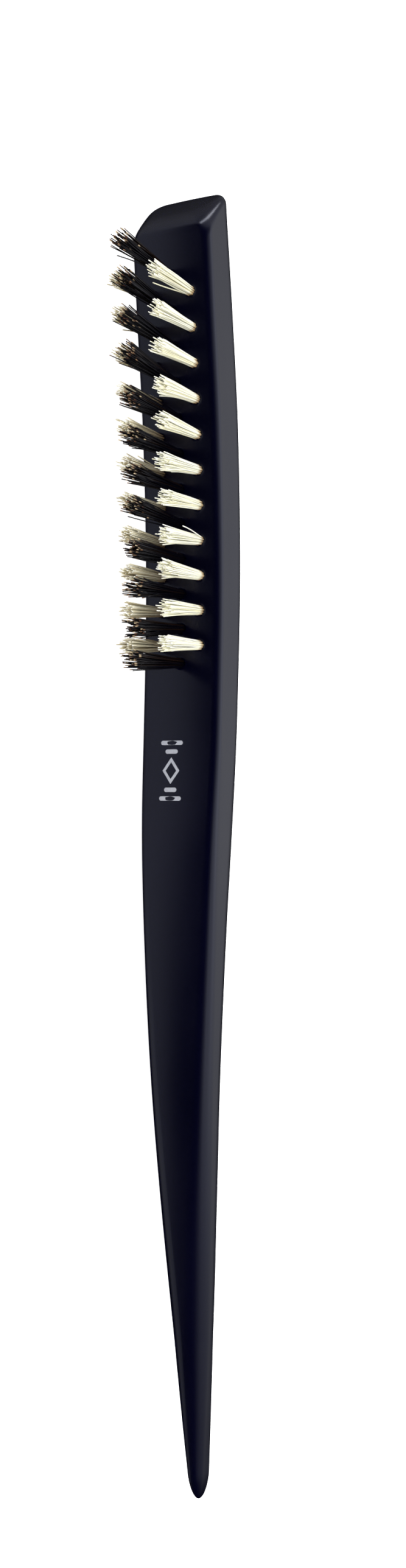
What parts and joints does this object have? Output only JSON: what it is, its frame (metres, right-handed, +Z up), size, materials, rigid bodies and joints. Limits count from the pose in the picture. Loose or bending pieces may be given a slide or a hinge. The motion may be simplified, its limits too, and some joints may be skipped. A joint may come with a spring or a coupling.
{
  "type": "narrow dressing brush",
  "caption": "Narrow salon dressing brush: bowed black lacquered handle with a tapered sectioning tail and staggered rows of natural bristle tufts, pale outside and dark in the middle.",
  "frame": {"origin": "middle of the bounding box in X and Y, on the flat lower side of the head, which the brush rests on", "axes": "+X along the brush from the head towards the tail, -Y the way the tufts point, +Z up, across the width of the brush"},
  "size_m": [0.2278, 0.0294, 0.0156],
  "materials": {
    "handle_lacquer": "satin black lacquer over turned hardwood, with a very fine grain",
    "pale_bristle": "cream natural bristle, unevenly cut, tan near the root",
    "dark_bristle": "black natural bristle with brown cut ends",
    "anchor_steel": "plain flat wire",
    "print_silver": null
  },
  "bodies": {
    "root": {"handle": "handle_lacquer", "near_tuft_01": "pale_bristle", "near_tuft_02": "pale_bristle", "near_tuft_03": "pale_bristle", "near_tuft_04": "pale_bristle", "near_tuft_05": "pale_bristle", "near_tuft_06": "pale_bristle", "near_tuft_07": "pale_bristle", "near_tuft_08": "pale_bristle", "near_tuft_09": "pale_bristle", "near_tuft_10": "pale_bristle", "near_tuft_11": "pale_bristle", "middle_tuft_01": "dark_bristle", "middle_tuft_02": "dark_bristle", "middle_tuft_03": "dark_bristle", "middle_tuft_04": "dark_bristle", "middle_tuft_05": "dark_bristle", "middle_tuft_06": "dark_bristle", "middle_tuft_07": "dark_bristle", "middle_tuft_08": "dark_bristle", "middle_tuft_09": "dark_bristle", "middle_tuft_10": "dark_bristle", "middle_tuft_11": "dark_bristle", "middle_tuft_12": "dark_bristle", "far_tuft_01": "pale_bristle", "far_tuft_02": "pale_bristle", "far_tuft_03": "pale_bristle", "far_tuft_04": "pale_bristle", "far_tuft_05": "pale_bristle", "far_tuft_06": "pale_bristle", "far_tuft_07": "pale_bristle", "far_tuft_08": "pale_bristle", "far_tuft_09": "pale_bristle", "far_tuft_10": "pale_bristle", "far_tuft_11": "pale_bristle", "near_row_anchors": "anchor_steel", "middle_row_anchors": "anchor_steel", "far_row_anchors": "anchor_steel"}
  },
  "joints": []
}
